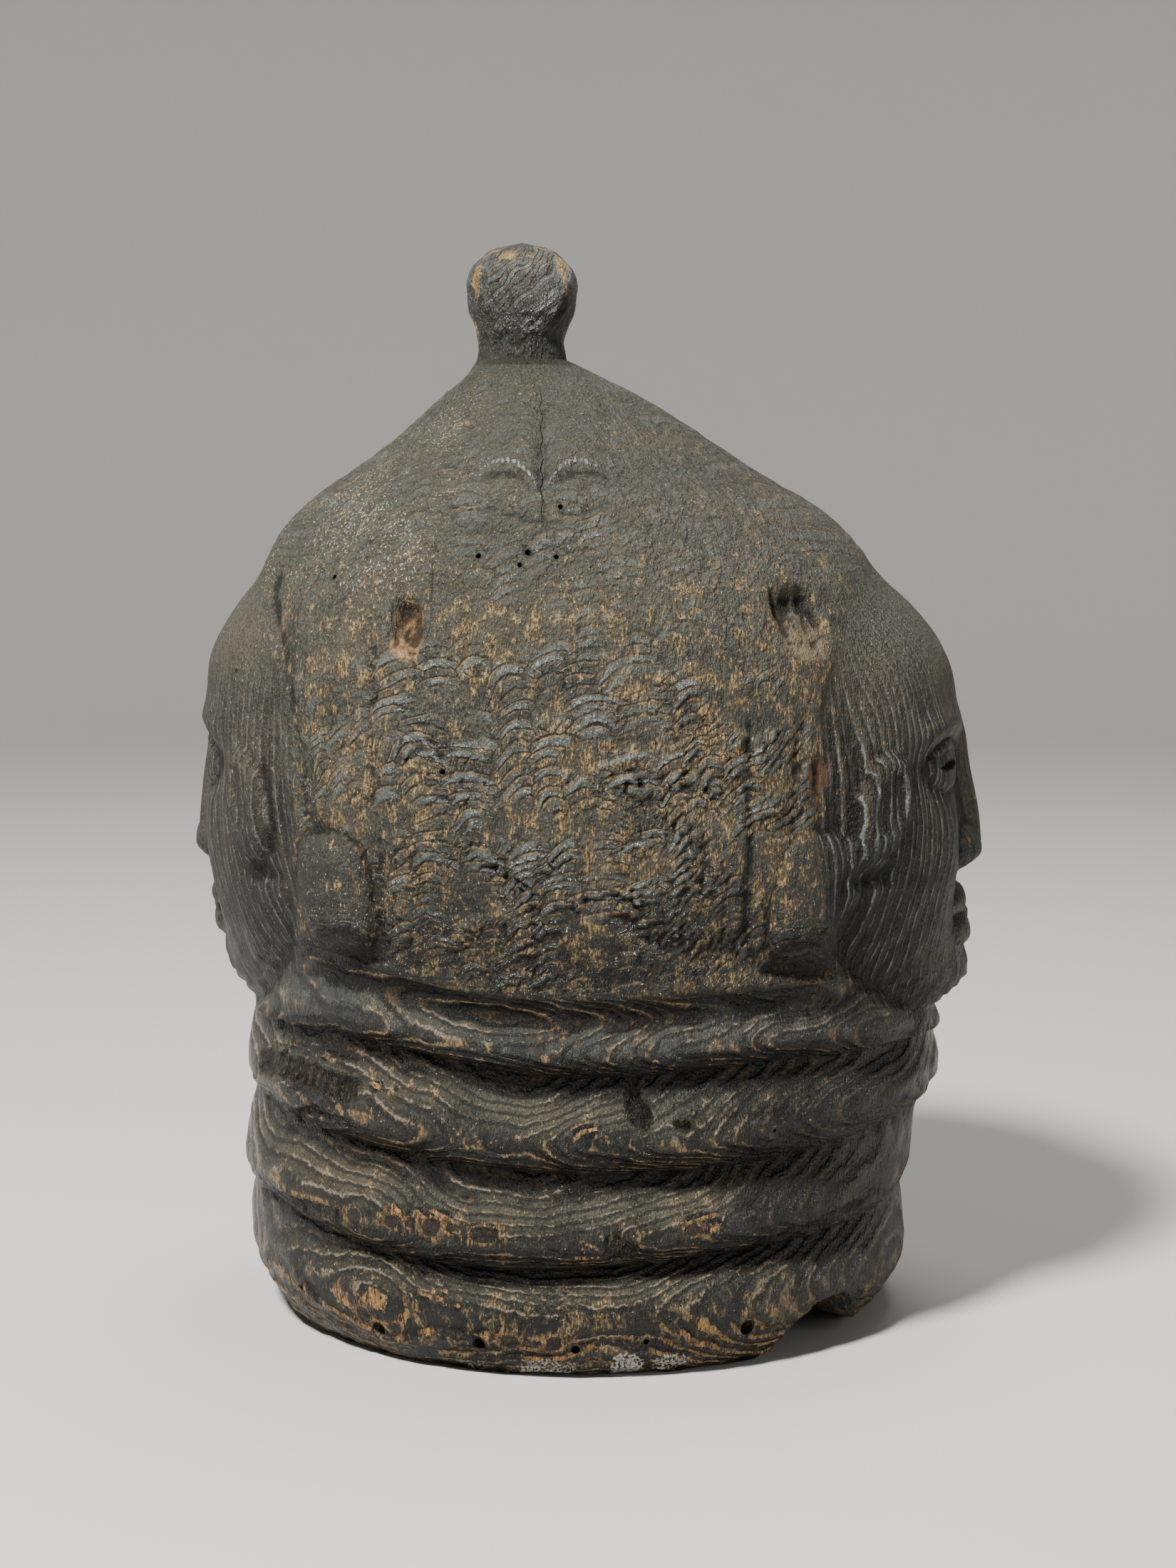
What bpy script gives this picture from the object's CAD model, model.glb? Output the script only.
import math
from functools import partial, reduce

import bmesh
import bpy
import numpy as np
from mathutils import Euler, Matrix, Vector, noise


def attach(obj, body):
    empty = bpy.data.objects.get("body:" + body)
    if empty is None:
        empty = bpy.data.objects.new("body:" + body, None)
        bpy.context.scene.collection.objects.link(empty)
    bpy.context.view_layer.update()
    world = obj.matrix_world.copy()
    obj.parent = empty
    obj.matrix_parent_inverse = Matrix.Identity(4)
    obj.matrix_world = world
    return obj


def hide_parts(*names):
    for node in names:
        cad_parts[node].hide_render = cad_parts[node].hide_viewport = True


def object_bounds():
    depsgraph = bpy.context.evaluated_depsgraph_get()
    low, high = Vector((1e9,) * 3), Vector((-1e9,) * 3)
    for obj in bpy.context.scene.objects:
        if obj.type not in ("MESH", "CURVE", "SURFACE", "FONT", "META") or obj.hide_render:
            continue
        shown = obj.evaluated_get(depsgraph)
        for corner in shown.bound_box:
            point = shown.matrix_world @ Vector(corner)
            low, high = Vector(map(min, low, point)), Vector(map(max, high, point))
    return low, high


# Two-faced helmet mask carved from one block. Shapes are worked out in millimetres and degrees,
# round the neck's axis, and the finished mesh is brought into the frame's metres.

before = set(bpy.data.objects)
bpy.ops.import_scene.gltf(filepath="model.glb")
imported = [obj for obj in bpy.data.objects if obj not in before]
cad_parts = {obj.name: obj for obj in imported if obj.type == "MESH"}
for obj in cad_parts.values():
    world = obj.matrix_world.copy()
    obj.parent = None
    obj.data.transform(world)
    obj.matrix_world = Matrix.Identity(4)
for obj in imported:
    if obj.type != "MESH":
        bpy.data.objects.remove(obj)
cadBox = [list(corner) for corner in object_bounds()]
millimetre = 0.001
print("frame loaded")


def ease(low, high, value):
    share = np.clip((value - low) / (high - low), 0, 1)
    return share * share * (3 - 2 * share)


def blend(start, end, share):
    return start + (end - start) * share


def ridge(offset, half):
    return np.exp(-((offset / half) ** 2))


def pad(across, up):
    return np.sqrt(np.maximum(0, 1 - across ** 2 - up ** 2))


def curveThrough(points, column):
    # a smooth curve through a few points, which never overshoots them
    xs = np.array([point[0] for point in points], float)
    ys = np.array([point[column] for point in points], float)
    slopes = np.diff(ys) / np.diff(xs)
    before, after = slopes[:-1], slopes[1:]
    total = np.where(before + after == 0, 1, before + after)
    mean = np.where(before * after > 0, 2 * before * after / total, 0)
    tangents = np.concatenate([slopes[:1], mean, slopes[-1:]])

    def curve(value):
        x = np.clip(value, xs[0], xs[-1])
        i = np.clip(np.searchsorted(xs, x, side="right") - 1, 0, len(xs) - 2)
        span = xs[i + 1] - xs[i]
        u = (x - xs[i]) / span
        keep = (1 + 2 * u) * (1 - u) ** 2 * ys[i] + u * u * (3 - 2 * u) * ys[i + 1]
        return keep + (u * (1 - u) ** 2 * tangents[i] - u * u * (1 - u) * tangents[i + 1]) * span

    return curve


def rough(points, size, seed=0):
    # smooth noise, about -1 to 1, with lumps of the given size
    shape = points.shape[:-1]
    spots = (points.reshape(-1, 3) / np.array(size) + 17.3 * seed).tolist()
    return np.array([noise.noise(spot) for spot in spots]).reshape(shape)


# trunk: the plain form, as the frame has it

trunk = {
    "originX": -3.2045,
    "knobX": -19.8,
    "knobFoot": 345,
    "outline": [
        (0, 105, 106, 100), (7, 112, 113.5, 104), (20, 119.5, 121, 107), (55, 123.5, 123, 108),
        (75, 122, 128, 107.5), (95, 122, 134, 107), (115, 121, 134, 106.5), (135, 119, 126, 107),
        (160, 119, 121, 111), (200, 121, 121, 114), (235, 121, 119, 113), (258, 117, 113, 109.5),
        (270, 113.5, 108, 105.5), (284, 106, 97, 98), (294, 97, 84.5, 90), (305, 81, 65, 77),
        (316, 66, 49, 62), (326, 55, 33, 46), (333, 47, 21, 37), (339, 40, 9, 27), (345, 36, -3.6, 16.2),
    ],  # height, reach to the left, right, front and back
    "knob": [
        (345, 16.2), (350, 15.8), (356, 17.6), (364, 20.2), (371, 20.8), (377, 19.2), (382, 15.2),
        (385.5, 9), (386.8, 0),
    ],
    # neck grooves: height in front, rise to the left and the right, how the rise spreads
    "grooves": [(36.5, 10, 10, 2), (69, 14, 8, 1.6), (103.7, 10.5, 3, 1.2)],
    "hairEdge": (131, 25, 3),
    "ringDepth": (3, 5),
    "waver": 1.2,
    "leanFrom": 250,
    # how far the head's section is from an ellipse, and the heights where that comes and goes
    "square": 0.3, "squareFrom": (120, 170), "squareTo": (250, 300),
}
face = {
    "hairline": 268, "chin": 112, "halfWidth": 80, "middle": 197, "archTop": 2.7, "archBottom": 2.5,
    "swell": (12.5, 17.5), "trench": 2.2,
}
third = (face["hairline"] - face["chin"]) / 3
browLine = face["hairline"] - third
noseBase = browLine - third
eyeWidth = 2 * face["halfWidth"] / 5
eyeLine = browLine - 0.24 * third
mouthLine = noseBase - third / 3

reachLeft, reachRight, reachFront = (curveThrough(trunk["outline"], column) for column in (1, 2, 3))
knobRadius = curveThrough(trunk["knob"], 1)


def section(height):
    x = trunk["knobX"] * ease(trunk["leanFrom"], trunk["knobFoot"], height)
    square = ease(*trunk["squareFrom"], height)
    power = 2 + trunk["square"] * square * (1 - ease(*trunk["squareTo"], height))
    return x, reachLeft(height) + x, reachRight(height) - x, reachFront(height), power


def trunkRadius(angle, height):
    x, left, right, front, power = section(height)
    c, s = np.cos(np.radians(angle)), np.sin(np.radians(angle))
    side = np.where(c < 0, left, right)
    low = ((np.abs(c) / side) ** power + (np.abs(s) / front) ** power) ** (-1 / power)
    return np.where(height > trunk["knobFoot"], knobRadius(height), low)


def endX(end, y, height):
    x, left, right, front, power = section(height)
    side = np.where(end < 0, left, right)
    share = np.clip(np.abs(y) / front, 0, 0.999)
    return x + end * side * (1 - share ** power) ** (1 / power)


def rise(angle, left, right, spread):
    c = np.cos(np.radians(angle))
    return np.where(c < 0, left, right) * np.abs(c) ** spread


def neckLines(angle):
    # heights of the rim, the three grooves and the hair's lower edge
    lines = [np.zeros_like(angle)]
    for index, (front, left, right, spread) in enumerate(trunk["grooves"]):
        waver = trunk["waver"] * np.sin(4 * np.radians(angle) + 2 * index)
        lines.append(front + waver + rise(angle, left, right, spread))
    hair = trunk["hairEdge"][0] + rise(angle, trunk["hairEdge"][1], trunk["hairEdge"][2], 2)
    lines.append(blend(hair, face["chin"] + 16, ease(0.74, 0.98, np.abs(np.cos(np.radians(angle))))))
    return np.stack(np.broadcast_arrays(*lines))


def insideFace(y, height):
    up = height - face["middle"]
    reach = np.where(up > 0, face["hairline"] - face["middle"], face["middle"] - face["chin"])
    power = np.where(up > 0, face["archTop"], face["archBottom"])
    return 1 - ((np.abs(y) / face["halfWidth"]) ** power + (np.abs(up) / reach) ** power) ** (1 / power)


# shell: a full turn of one profile, from the hollow's roof round the rim to the knob

shell = {
    "wall": 16, "rimWidth": 10, "roof": 268, "springing": 170, "widest": 215,
    "hollowHeights": [262, 245, 215, 170, 110, 50, 6],
    "columns": [(-180, 33), (-145, 182), (-36, 72), (36, 60), (145, 33), (180, 0)],
    "neckRows": [22, 22, 22, 20],
    "headRows": [(0.6, 90), (1, 44)],
    "knobRows": 24,
    # how softly the surface is drawn in at the frame's box, along x, y and z
    "softEdge": (4.0, 2.0, 0.3),
}


def columnAngles():
    plan = shell["columns"]
    parts = [np.linspace(a, b, count, endpoint=False) for (a, count), (b, _) in zip(plan, plan[1:])]
    return np.concatenate(parts)


def rowLevels():
    parts = [np.linspace(i, i + 1, rows, endpoint=False) for i, rows in enumerate(shell["neckRows"])]
    start = 0
    for end, rows in shell["headRows"]:
        parts.append(4 + np.linspace(start, end, rows, endpoint=False))
        start = end
    parts.append(5 + np.linspace(0, 1, shell["knobRows"]) ** 0.8)
    return np.concatenate(parts)


angles = columnAngles()[None, :]
levels = rowLevels()[:, None]
lines = neckLines(angles)[:, 0, :]


def outerHeights():
    heights = np.empty((levels.shape[0], angles.shape[1]))
    for row, level in enumerate(levels[:, 0]):
        if level >= 5:
            heights[row] = blend(trunk["knobFoot"], trunk["knob"][-1][0], level - 5)
        elif level >= 4:
            heights[row] = blend(lines[4], trunk["knobFoot"], level - 4)
        else:
            index = int(level)
            heights[row] = blend(lines[index], lines[index + 1], level - index)
    return heights


def fromPolar(radius, angle, height):
    x = section(np.minimum(height, trunk["knobFoot"]))[0]
    turn = np.radians(angle)
    return np.stack(np.broadcast_arrays(x + radius * np.cos(turn), radius * np.sin(turn), height), axis=-1)


def surfaceNormals(places):
    along = np.roll(places, -1, 1) - np.roll(places, 1, 1)
    up = np.gradient(places, axis=0)
    normals = np.cross(along, up)
    return normals / np.maximum(np.linalg.norm(normals, axis=-1, keepdims=True), 1e-6)


# carving: relief on the outer surface, in millimetres outwards

hair = {
    # columns of scales: angle, width of one, how far their tops arch, how deep they are cut
    "columns": [
        (-144, 7, 1.5, 0), (-137, 7.5, 1.8, 0.45), (-121, 9.5, 2, 0.65), (-114, 14, 2.4, 1.0),
        (-74, 13.5, 2.4, 1.1), (-67, 6.6, 1.5, 1.1), (-52, 6, 1.2, 0.8), (-44, 6, 1, 0.35), (-36, 6, 0.6, 0),
    ],
    "row": 3.8,
    "girth": 116,
    "lean": 0.6,
    # upright grooves: x at the lower and upper end, the heights of those ends, depth and half width
    "grooves": [
        (-55, -59.5, 143, 262, 0.6, 1.5), (-59.5, -66, 262, 306, 0.3, 1.1), (46, 45.5, 143, 204, 0.3, 1.4),
        (66, 66.5, 150, 224, 1.1, 1.6), (-38.2, -37.8, 255, 290, 0.7, 0.7), (80, 84, 186, 226, 1.0, 2.2),
    ],
    # folds beside the faces: height and angle along each, depth and half width
    "folds": [
        ([(183, -131), (190, -133), (215, -137), (245, -140), (262, -147), (280, -152)], 1.9, 6.5),
        ([(150, -37), (224, -37.5), (250, -36)], 1.3, 3),
    ],
    "foldGirth": 118,
    "overhang": 0.4,
}
# one scale: its least height and what luck adds to it, how it falls off, its least half width and what
# luck adds to that, how far it sways, and the share of scales that are lost
scaleShape = {"low": 0.2, "luck": 0.8, "fall": 1.3, "half": 0.34, "wider": 0.3, "sway": 0.5, "lost": 0.2}
# what makes luck out of whole numbers, and how far luck lifts each column
dice = {"first": 12.99, "second": 7.823, "spread": 43.758, "lift": 7.3}
pits = [  # angle, height, half width, half height, depth
    (-113.8, 253.5, 6, 10.5, 4.5), (-45, 255.5, 12, 12.5, 4.6), (-43, 203, 5, 8, 1.6),
]
coils = [  # angle, height, half width, half height, rise, lean, row step
    (-128.5, 163, 16.5, 21, 5.8, 7, 2.3),
    (-43.5, 162, 17.5, 23, 4.4, -6, 2.6),
]
crest = {
    "lip": 289, "arc": 306, "top": 338, "reach": 24, "rise": 2.4,
    "crack": [(287, -2.2), (297, -3.6), (310, -5.3), (322, -7.4), (334, -9.6)],
    "crackEnds": (286.5, 333), "crackHalf": (0.12, 0.22), "beadPitch": 1.7,
}
ear = {"angle": 33.5, "height": (browLine + noseBase) / 2, "thick": 3, "half": 9, "tall": 20}
rings = {"pith": (-5, 12), "width": 1.6, "faceWidth": 2.3, "step": 0.55}
# broken layers on the neck: angle and height along the upper edge, how far down the break reaches
cliffs = [
    ([(-160, 100), (-149, 102.6), (-139, 101), (-126, 99)], 12), ([(-148, 80), (-138, 87), (-122, 80)], 4.5),
    ([(-158, 52), (-139, 53), (-129, 54)], 8), ([(-52, 46), (-38, 50), (-22, 56)], 7),
]
hollowSpots = [  # angle, height, half width, half height, strength
    (-74.5, 94, 3.5, 6, 1), (-72.5, 91, 3.5, 4, 1), (-78, 48, 3.5, 6, 1), (-76, 45.5, 4, 3.5, 1),
    (-66, 88, 4, 2.4, 0.8),
]


def ringDistance(places):
    # distance from the upright pith, wavering as the tree grew
    x, y = places[..., 0] - rings["pith"][0], places[..., 1] - rings["pith"][1]
    return np.hypot(x, y) + 8 * rough(places, (62, 62, 170), 21) + 1.4 * rough(places, (22, 22, 34), 22)


def faceDistance(places):
    # the grain runs down the faces in nearly straight lines
    return np.abs(places[..., 1]) + 4 * rough(places, (60, 60, 120), 23) + rough(places, (14, 14, 50), 24)


def terraces(distance, width):
    # weathered wood: hard late wood stands proud, soft early wood is worn away
    phase = np.mod(distance / (2 * width), 1)
    hard = ease(0.3, 0.75, phase) * ease(1, 0.93, phase)
    return rings["step"] * (hard - 1)


def brokenLayers(angle, height, places):
    # how far each point lies inside a break, where upright bristles show
    front = -np.abs(angle)
    jagged = 0.8 * rough(places, (3, 3, 8), 51)
    field = painted(hollowSpots, angle, height, places)
    for route, reach in cliffs:
        turns, heights = zip(*route)
        below = np.interp(front, turns, heights) - height + jagged
        ends = ease(turns[0] - 1, turns[0] + 3, front) * ease(turns[-1] + 1, turns[-1] - 4, front)
        field = np.maximum(field, ease(0, 1.4, below) * ease(reach, 0.5 * reach, below) * ends)
    return field


def ringRelief(angle, places):
    index = np.minimum(np.floor(levels), 3)
    fromTop = 1 - (levels - index)
    side = np.abs(np.sin(np.radians(angle)))
    uneven = 1 + 0.22 * rough(places, (40, 40, 22), 31)
    depth = (trunk["ringDepth"][0] + trunk["ringDepth"][1] * side) * uneven
    roundness = np.maximum(0, np.sin(np.pi * fromTop ** 1.75)) ** 0.72
    towardsFace = np.abs(np.cos(np.radians(angle)))
    # the top ring meets the hair with a soft shoulder
    shoulder = np.where((index == 3) & (fromTop < 0.4), blend(0.12, 1, ease(0.0, 0.42, fromTop)), 1)
    underJaw = np.where(index == 3, ease(0.95, 0.7, towardsFace), 1)
    upper = -depth * (1 - roundness) * underJaw * shoulder
    rim = -depth * (1 - np.sin(np.pi / 2 * np.minimum(1, fromTop / 0.45)))
    return np.where(levels >= 4, 0, np.where(index == 0, rim, upper))


def localMap(angle, height, centreAngle, centreHeight, tilt=0):
    # millimetres across and up from a point on the surface, in a frame turned by tilt
    across = np.radians(angle - centreAngle) * trunkRadius(centreAngle, centreHeight)
    up = height - centreHeight
    c, s = math.cos(math.radians(tilt)), math.sin(math.radians(tilt))
    return across * c + up * s, up * c - across * s


def ovalSize(across, up, half, tall):
    # 1 on the edge of a squarish oval and less inside it
    return (np.abs(across / half) ** 3 + np.abs(up / tall) ** 3) ** (1 / 3)


def chance(first, second):
    # a value from 0 to 1 that belongs to a pair of whole numbers
    return np.mod(np.abs(np.sin(dice["first"] * first + dice["second"] * second)) * dice["spread"], 1)


def scaleLane(across, count, arch, offset):
    # every second column of scales: each scale is proud below and sinks under the next one above
    lane = (across + offset) / 2
    column = 2 * np.floor(lane) - offset
    x = 2 * np.mod(lane, 1) - 1
    lean = 2 * chance(column, 1) - 1 - hair["lean"]
    climb = count + dice["lift"] * chance(column, 0) + arch * x * x + lean * x
    row = np.floor(climb)
    luck, other = chance(column, row), chance(row, column + 0.5)
    slope = (scaleShape["low"] + scaleShape["luck"] * luck) * (1 - (climb - row) ** scaleShape["fall"])
    aside = np.abs(x + scaleShape["sway"] * (other - 0.5))
    return slope, scaleShape["half"] + scaleShape["wider"] * luck - aside - (other < scaleShape["lost"])


def scaleHeight(across, count, arch):
    # the first set of columns lies over the second
    over, under = (scaleLane(across, count, arch, offset) for offset in (0, 1))
    return np.where(over[1] > 0, over[0] - 0.5 * ridge(over[1], 0.06), under[0])


def plaits(front, height, places):
    # rows of scales with round tops: places across and up in scales, the arch and the depth of cut
    angle, width, arch, cut = np.array(hair["columns"]).T
    at = front + 1.5 * rough(places, (15, 15, 10), 1) + 4 * rough(places, (36, 36, 26), 49)
    turns = np.linspace(angle[0], angle[-1], 400)
    steps = np.radians(turns[1] - turns[0]) * hair["girth"] / np.interp(turns, angle, width)
    across = np.interp(at, turns, np.cumsum(steps))
    count = (height + 4 * rough(places, (20, 20, 13), 2) - 0.2 * np.maximum(0, 166 - height)) / hair["row"]
    patches = np.clip(0.8 + 1.5 * rough(places, (19, 19, 13), 3), 0.12, 1.2)
    low = blend(0.3, 0.7, ease(262, 225, height)) + 0.3 * ease(226, 200, height)
    return across, count, np.interp(at, angle, arch), np.interp(at, angle, cut) * patches * low


def carvedRows(angle, height, places):
    # all fine carving: places across and up, the arch and the depth of cut
    front = -np.abs(angle)
    across, count, arch, depth = plaits(front, height, places)
    depth = np.maximum(depth, 0.3 * ease(256, 270, height)) * ease(344, 336, height)
    arch = blend(arch, 0.8, ease(255, 275, height))
    # nested arches over the crest's two lobes
    away = np.abs(places[..., 0] - spineX(height))
    lobes = ease(23, 18, away) * ease(300, 306, height) * ease(338, 326, height)
    nested = np.hypot(away - 9, 0.8 * (height - 300)) / 2.6 + 0.8 * rough(places, (9, 9, 9), 43)
    onLobe = lobes > 0.5
    depth = np.where(onLobe, 0.24 * ease(0.5, 0.9, lobes), depth * ease(0.5, 0.1, lobes))
    # slanting cracks on the knob
    onKnob = height > trunk["knobFoot"]
    wavering = (1 + 2.5 * ease(362, 374, height)) * rough(places, (7, 7, 6), 48)
    slanting = 0.77 * height - 0.24 * front + wavering
    depth = depth + 0.7 * ease(352, 356, height) * ease(140, 110, np.abs(angle))
    plain = onLobe | onKnob
    count = np.where(onLobe, nested, np.where(onKnob, slanting / 2, count))
    for centreAngle, centreHeight, half, tall, lift, lean, step in coils:
        side, up = localMap(front, height, centreAngle, centreHeight, lean)
        size = ovalSize(side, up, half, tall)
        turns = np.hypot(side, up + 1.4 * tall) / step + 0.9 * rough(places, (9, 9, 6), 45)
        count = np.where(size < 1, turns, count)
        worn = blend(0.12, 0.8, ease(0.1 * tall, -0.7 * tall, up)) * ease(1, 0.85, size)
        depth = np.where(size < 1, worn, depth * ease(1, 1.15, size))
        plain = plain | (size < 1)
    return np.where(plain, 0, across), count, np.where(plain, 0, arch), depth


def hairRelief(angle, height, places, rows, hairy):
    front = -np.abs(angle)
    x = places[..., 0]
    across, count, arch, depth = rows
    relief = blend(1.4, 1.6, ease(150, 185, height)) * depth * (scaleHeight(across, count, arch) - 0.35)
    for xLow, xHigh, bottom, top, cut, half in hair["grooves"]:
        line = np.interp(height, (bottom, top), (xLow, xHigh)) + 0.5 * np.sin(height / 9)
        ends = ease(bottom - 3, bottom + 3, height) * ease(top + 5, top - 6, height)
        relief -= cut * ridge(x - line, half) * ends
    for route, cut, half in hair["folds"]:
        heights, turns = zip(*route)
        across = np.radians(front - np.interp(height, heights, turns)) * hair["foldGirth"]
        across += 1.2 * rough(places, (15, 15, 15), 46)
        ends = ease(heights[0] - 5, heights[0] + 6, height) * ease(heights[-1] + 4, heights[-1] - 16, height)
        relief -= cut * (ridge(across, half) - 0.35 * ridge(np.abs(across) - 2.6 * half, 1.5 * half)) * ends
    # the hair's lower edge stands a little proud
    relief += hair["overhang"] * ease(9, 2, height - lines[4])
    relief += 0.4 * rough(places, 11, 4) + 0.3 * rough(places, (4, 4, 6), 5)
    return relief * hairy


def coilRelief(angle, height):
    relief = np.zeros_like(height)
    front = -np.abs(angle)
    for centreAngle, centreHeight, half, tall, lift, lean, step in coils:
        across, up = localMap(front, height, centreAngle, centreHeight, lean)
        dome = np.sqrt(np.maximum(0, 1 - ovalSize(across, up, half, tall) ** 2.2))
        relief += lift * dome * blend(0.7, 1, ease(0.5 * tall, -0.6 * tall, up))
        relief -= 2.2 * ridge(up + tall + 1.5, 3) * ease(1.15 * half, 0.6 * half, np.abs(across))
    return relief


def pitRelief(angle, height, places):
    relief = np.zeros_like(height)
    wobble = 0.2 * rough(places, 6, 6)
    for centreAngle, centreHeight, half, tall, depth in pits:
        across, up = localMap(angle, height, centreAngle, centreHeight)
        size = ovalSize(across, up, half, tall) + wobble
        slope = blend(0.35, 1, ease(-tall, 0.7 * tall, up))
        relief -= depth * slope * ease(1.05, 0.62, size) * (1 + 0.25 * rough(places, (2.5, 2.5, 8), 7))
    return relief


def spineX(height):
    heights, places = zip(*crest["crack"])
    return np.interp(height, heights, places)


def crestPlan(height, places):
    # distance from the spine, height of the hooked edge of each lobe there, and where the lobes are
    away = np.abs(places[..., 0] - spineX(height)) + 0.8 * rough(places, (6, 6, 6), 47)
    droop = 9.5 * (1 - np.sin(np.pi / 2 * np.minimum(1, away / 12)))
    arc = crest["arc"] - droop - 0.3 * np.maximum(0, away - 15)
    window = ease(0.5, 4, away) * ease(crest["reach"], crest["reach"] - 14, away)
    return away, arc + 0.4 * np.sin(away * 2.4), window


def crestRelief(height, places):
    # two drooping lobes beside a crack: each has an upper and a lower hooked edge with a hollow between
    away, arc, window = crestPlan(height, places)
    lip = crest["lip"] + 0.3 * away
    lobe = crest["rise"] * ease(-2.2, 1.4, height - arc) * ease(crest["top"], crest["arc"] - 3, height)
    between = 1.1 * ease(-1.5, 1.5, height - lip) * ease(2, -5, height - arc)
    hollow = -0.5 * ridge(height - arc + 3.6, 2.4) * ridge(away - 9, 7)
    relief = (lobe + between + hollow) * window
    relief -= 0.6 * ridge(height - lip + 1.4, 1.5) * ease(27, 18, away)
    relief += 0.7 * ridge(height - lip + 4.5, 2) * ease(27, 18, away)
    return relief - 0.12 * ridge(away, 1.4) * ease(286, 292, height) * ease(336, 326, height)


def earRelief(angle, height):
    # worn low ears, with a dark notch under each lobe
    relief = np.zeros_like(height)
    for centre in (ear["angle"], -ear["angle"], 180 - ear["angle"], ear["angle"] - 180):
        towardsFace = 1 if (abs(centre) < 90) == (centre < 0) else -1
        across, up = localMap(angle, height, centre, ear["height"])
        lean = across * towardsFace - 0.14 * up
        shape = pad(lean / (ear["half"] * (1 + 0.012 * up)), up / ear["tall"])
        bowl = pad((lean - 1.2) / (0.6 * ear["half"]), (up - 3) / (0.6 * ear["tall"]))
        relief += ear["thick"] * shape ** 0.8 - 1.9 * bowl
        relief -= 2.2 * ridge(lean - 1, 7) * ridge(up + ear["tall"] + 2.5, 3.2)
    return relief


def featureRelief(y, height):
    q = np.abs(y)
    eyeSide = q - eyeWidth
    browHeight = browLine - 5 * (eyeSide / eyeWidth) ** 2
    brow = 3.2 * ridge(height - browHeight, 6) * ease(4, 14, q) * ease(62, 46, q)
    socket = -6.5 * ridge(eyeSide, 21) * ridge(height - eyeLine, 12)
    lid = 5.5 * pad(eyeSide / (0.56 * eyeWidth), (height - eyeLine + 1) / 9)
    down = np.clip((browLine - height) / (browLine - noseBase), 0, 1)
    bridgeHalf = blend(6.5, 0.4 * eyeWidth, down ** 1.8)
    noseEnd = ease(noseBase - 4, noseBase + 6, height) * ease(browLine + 14, browLine - 8, height)
    nose = blend(3.5, 12, down ** 1.3) * ridge(q, bridgeHalf) * noseEnd
    wing = 3.5 * pad((q - 0.36 * eyeWidth) / 7, (height - noseBase - 7) / 8)
    lipHalf = 0.7 * eyeWidth
    upperLip = 4 * pad(q / lipHalf, (height - mouthLine - 4) / 6)
    lowerLip = 4.5 * pad(q / (0.9 * lipHalf), (height - mouthLine + 5.5) / 6.5)
    chin = 5 * ridge(q, 20) * ridge(height - face["chin"] - 15, 11)
    cheek = 2.5 * ridge(q - 40, 20) * ridge(height - noseBase - 10, 24)
    overLip = height - mouthLine + 0.6 - 1.2 * (q / lipHalf) ** 2
    lipLine = -1.3 * ridge(overLip, 1.1) * ease(lipHalf + 1, lipHalf - 5, q)
    overLid = height - eyeLine - 4.2 + 3.2 * (eyeSide / (0.5 * eyeWidth)) ** 2
    lidLine = -0.9 * ridge(overLid, 1.1) * ease(14, 9, np.abs(eyeSide))
    return brow + socket + lid + nose + wing + upperLip + lowerLip + chin + cheek + lipLine + lidLine


def seatFaces(places, bare, height):
    # inside each oval the surface is the face's own, and a low fold parts it from the hair
    y = bare[..., 1]
    inside = insideFace(y, height)
    end = np.sign(bare[..., 0])
    dome = 1 - (1 - np.clip(inside / 0.62, 0, 1)) ** 2.2
    swell = np.where(end < 0, face["swell"][0], face["swell"][1]) * dome
    gap = face["trench"] * blend(1, 0.3, ease(215, 250, height)) * (1 - ease(0, 0.1, inside))
    worn = 0.5 * rough(bare, (16, 16, 26), 12) + 0.35 * rough(bare, (5, 5, 14), 15)
    features = featureRelief(y, height) * ease(0, 0.14, inside)
    faceX = endX(end, y, height) + end * (swell - gap + worn + features)
    share = ease(-0.1, 0.01, inside)
    target = np.stack([faceX, y, height], axis=-1)
    return blend(places, target, share[..., None]), share


def keepInside(places):
    # the frame's box is the limit: what would pass it is drawn in softly
    low, high = (np.array(corner) * 1000 for corner in cadBox)
    shift = np.array((trunk["originX"], 0, 0))
    middle, half = (low + high) / 2 - shift, (high - low) / 2
    away = places - middle
    soft = np.array(shell["softEdge"])
    over = np.maximum(0, np.abs(away) - (half - soft))
    kept = np.minimum(np.abs(away), half - soft) + soft * np.tanh(over / soft)
    return np.sign(away) * kept + middle


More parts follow.
